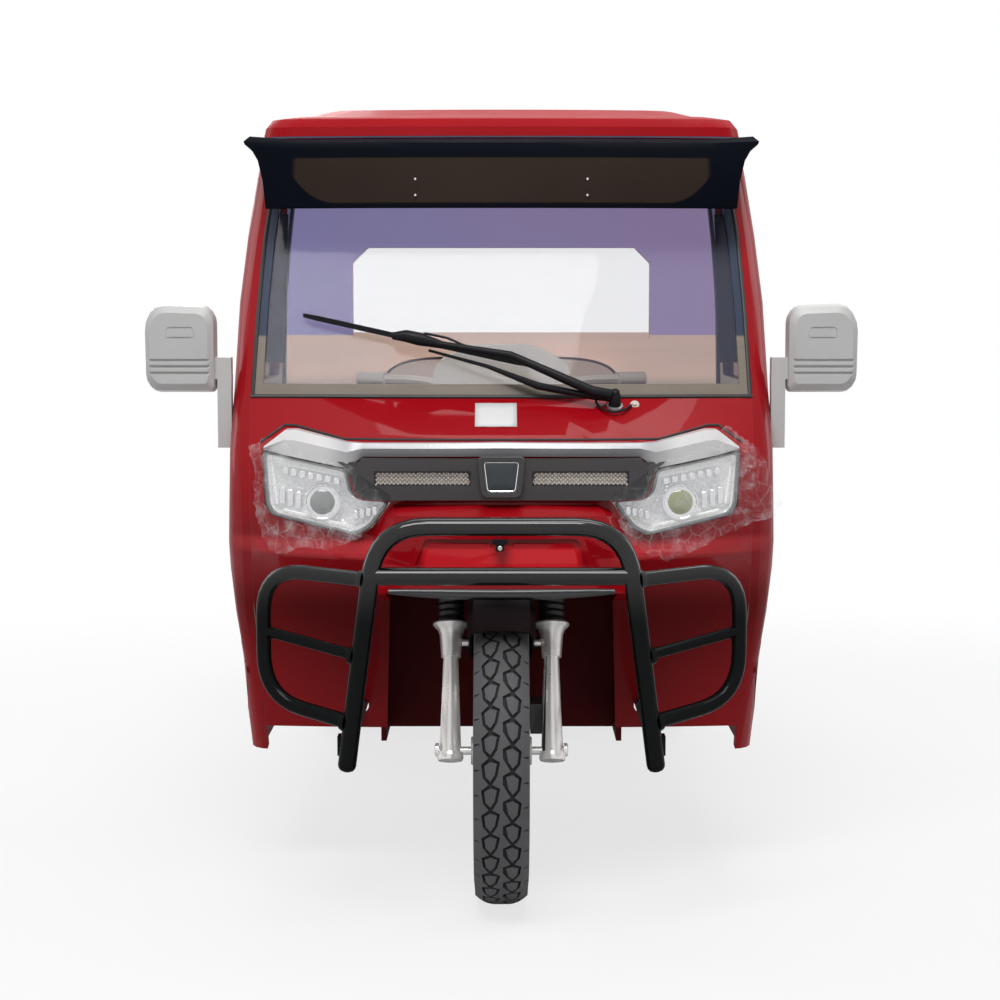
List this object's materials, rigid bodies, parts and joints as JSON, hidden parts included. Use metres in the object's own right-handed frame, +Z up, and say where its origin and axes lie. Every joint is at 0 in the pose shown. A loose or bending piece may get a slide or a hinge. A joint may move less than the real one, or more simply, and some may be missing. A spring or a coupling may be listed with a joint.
{
  "type": "electric cargo tricycle with enclosed cab",
  "caption": "Electric cargo tricycle with an enclosed red cab, handlebar steering, hinged doors, a bull bar and an open load bed with a drop tailgate.",
  "frame": {"origin": "on the ground under the middle of the vehicle", "axes": "+Z up, +Y to the rear, +X to the rider's left"},
  "size_m": [1.5794, 3.016, 1.7403],
  "materials": {
    "red_paint": "glossy red paint",
    "silver_trim": "satin silver paint",
    "fork_steel": "satin steel",
    "frame_black": "black frame paint",
    "tube_black": "gloss black enamel",
    "black_plastic": "black moulded plastic",
    "charcoal_plastic": "charcoal moulded plastic",
    "grey_plastic": "light grey moulded plastic",
    "seal_rubber": "matt black rubber",
    "tyre_rubber": "worn road tyre",
    "wheel_silver": "silver wheel paint",
    "clear_glass": "faintly tinted safety glass",
    "lamp_clear": "clear lamp cover over bright reflectors",
    "tail_red": "red lens",
    "tan_plastic": "tan moulded plastic",
    "seat_cover": "tan leatherette",
    "floor_mat": "black floor mat",
    "well_liner": "dark red liner",
    "dark_housing": "dark moulded housing"
  },
  "bodies": {
    "root": {"chassis_frame": "frame_black", "rear_axle": "frame_black", "leaf_spring_left": "frame_black", "leaf_spring_right": "frame_black", "battery_box": "dark_housing", "cab_floor": "floor_mat", "wheel_well": "well_liner", "front_fascia": "red_paint", "brow_trim": "silver_trim", "grille": "charcoal_plastic", "headlamp_left": "lamp_clear", "headlamp_right": "lamp_clear", "windscreen": "clear_glass", "windscreen_seal": "seal_rubber", "side_frame_left": "red_paint", "side_frame_right": "red_paint", "roof": "red_paint", "sun_visor": "black_plastic", "rear_wall": "red_paint", "rear_window": "clear_glass", "dashboard": "tan_plastic", "seat_base": "dark_housing", "seat_cushion": "seat_cover", "seat_back": "seat_cover", "bull_bar": "tube_black", "mirror_left": "grey_plastic", "mirror_right": "grey_plastic", "wiper": "black_plastic", "bed_floor": "red_paint", "bed_headboard": "red_paint", "bed_side_left": "red_paint", "bed_side_right": "red_paint", "rear_mudguard_left": "black_plastic", "rear_mudguard_right": "black_plastic", "rear_bumper": "tube_black", "tail_lamp_left": "tail_red", "tail_lamp_right": "tail_red"},
    "steering": {"fork": "fork_steel", "handlebar": "black_plastic", "instrument_pod": "grey_plastic", "front_mudguard": "black_plastic"},
    "front_wheel": {"front_rim": "wheel_silver", "front_tyre": "tyre_rubber"},
    "rear_wheel_left": {"rear_rim_left": "wheel_silver", "rear_tyre_left": "tyre_rubber"},
    "rear_wheel_right": {"rear_rim_right": "wheel_silver", "rear_tyre_right": "tyre_rubber"},
    "door_left": {"door_left": "red_paint", "door_glass_left": "clear_glass"},
    "door_right": {"door_right": "red_paint", "door_glass_right": "clear_glass"},
    "tailgate": {"tailgate": "red_paint"}
  },
  "joints": [
    {"name": "steering_turn", "type": "hinge", "parent": "root", "child": "steering", "pos_m": [0, -0.99248, 0.68], "axis": [0, 0.3746, 0.9272], "range_deg": [-35, 35]},
    {"name": "front_wheel_spin", "type": "hinge", "parent": "steering", "child": "front_wheel", "pos_m": [0, -1.18, 0.328], "axis": [1, 0, 0], "continuous": true},
    {"name": "rear_wheel_left_spin", "type": "hinge", "parent": "root", "child": "rear_wheel_left", "pos_m": [0.5, 0.79, 0.29], "axis": [1, 0, 0], "continuous": true},
    {"name": "rear_wheel_right_spin", "type": "hinge", "parent": "root", "child": "rear_wheel_right", "pos_m": [-0.5, 0.79, 0.29], "axis": [1, 0, 0], "continuous": true},
    {"name": "door_left_swing", "type": "hinge", "parent": "root", "child": "door_left", "pos_m": [0.618, -0.955, 0.5], "axis": [0, 0, -1], "range_deg": [0, 65]},
    {"name": "door_right_swing", "type": "hinge", "parent": "root", "child": "door_right", "pos_m": [-0.618, -0.955, 0.5], "axis": [0, 0, 1], "range_deg": [0, 65]},
    {"name": "tailgate_drop", "type": "hinge", "parent": "root", "child": "tailgate", "pos_m": [0, 1.496, 0.672], "axis": [-1, 0, 0], "range_deg": [0, 180]}
  ]
}
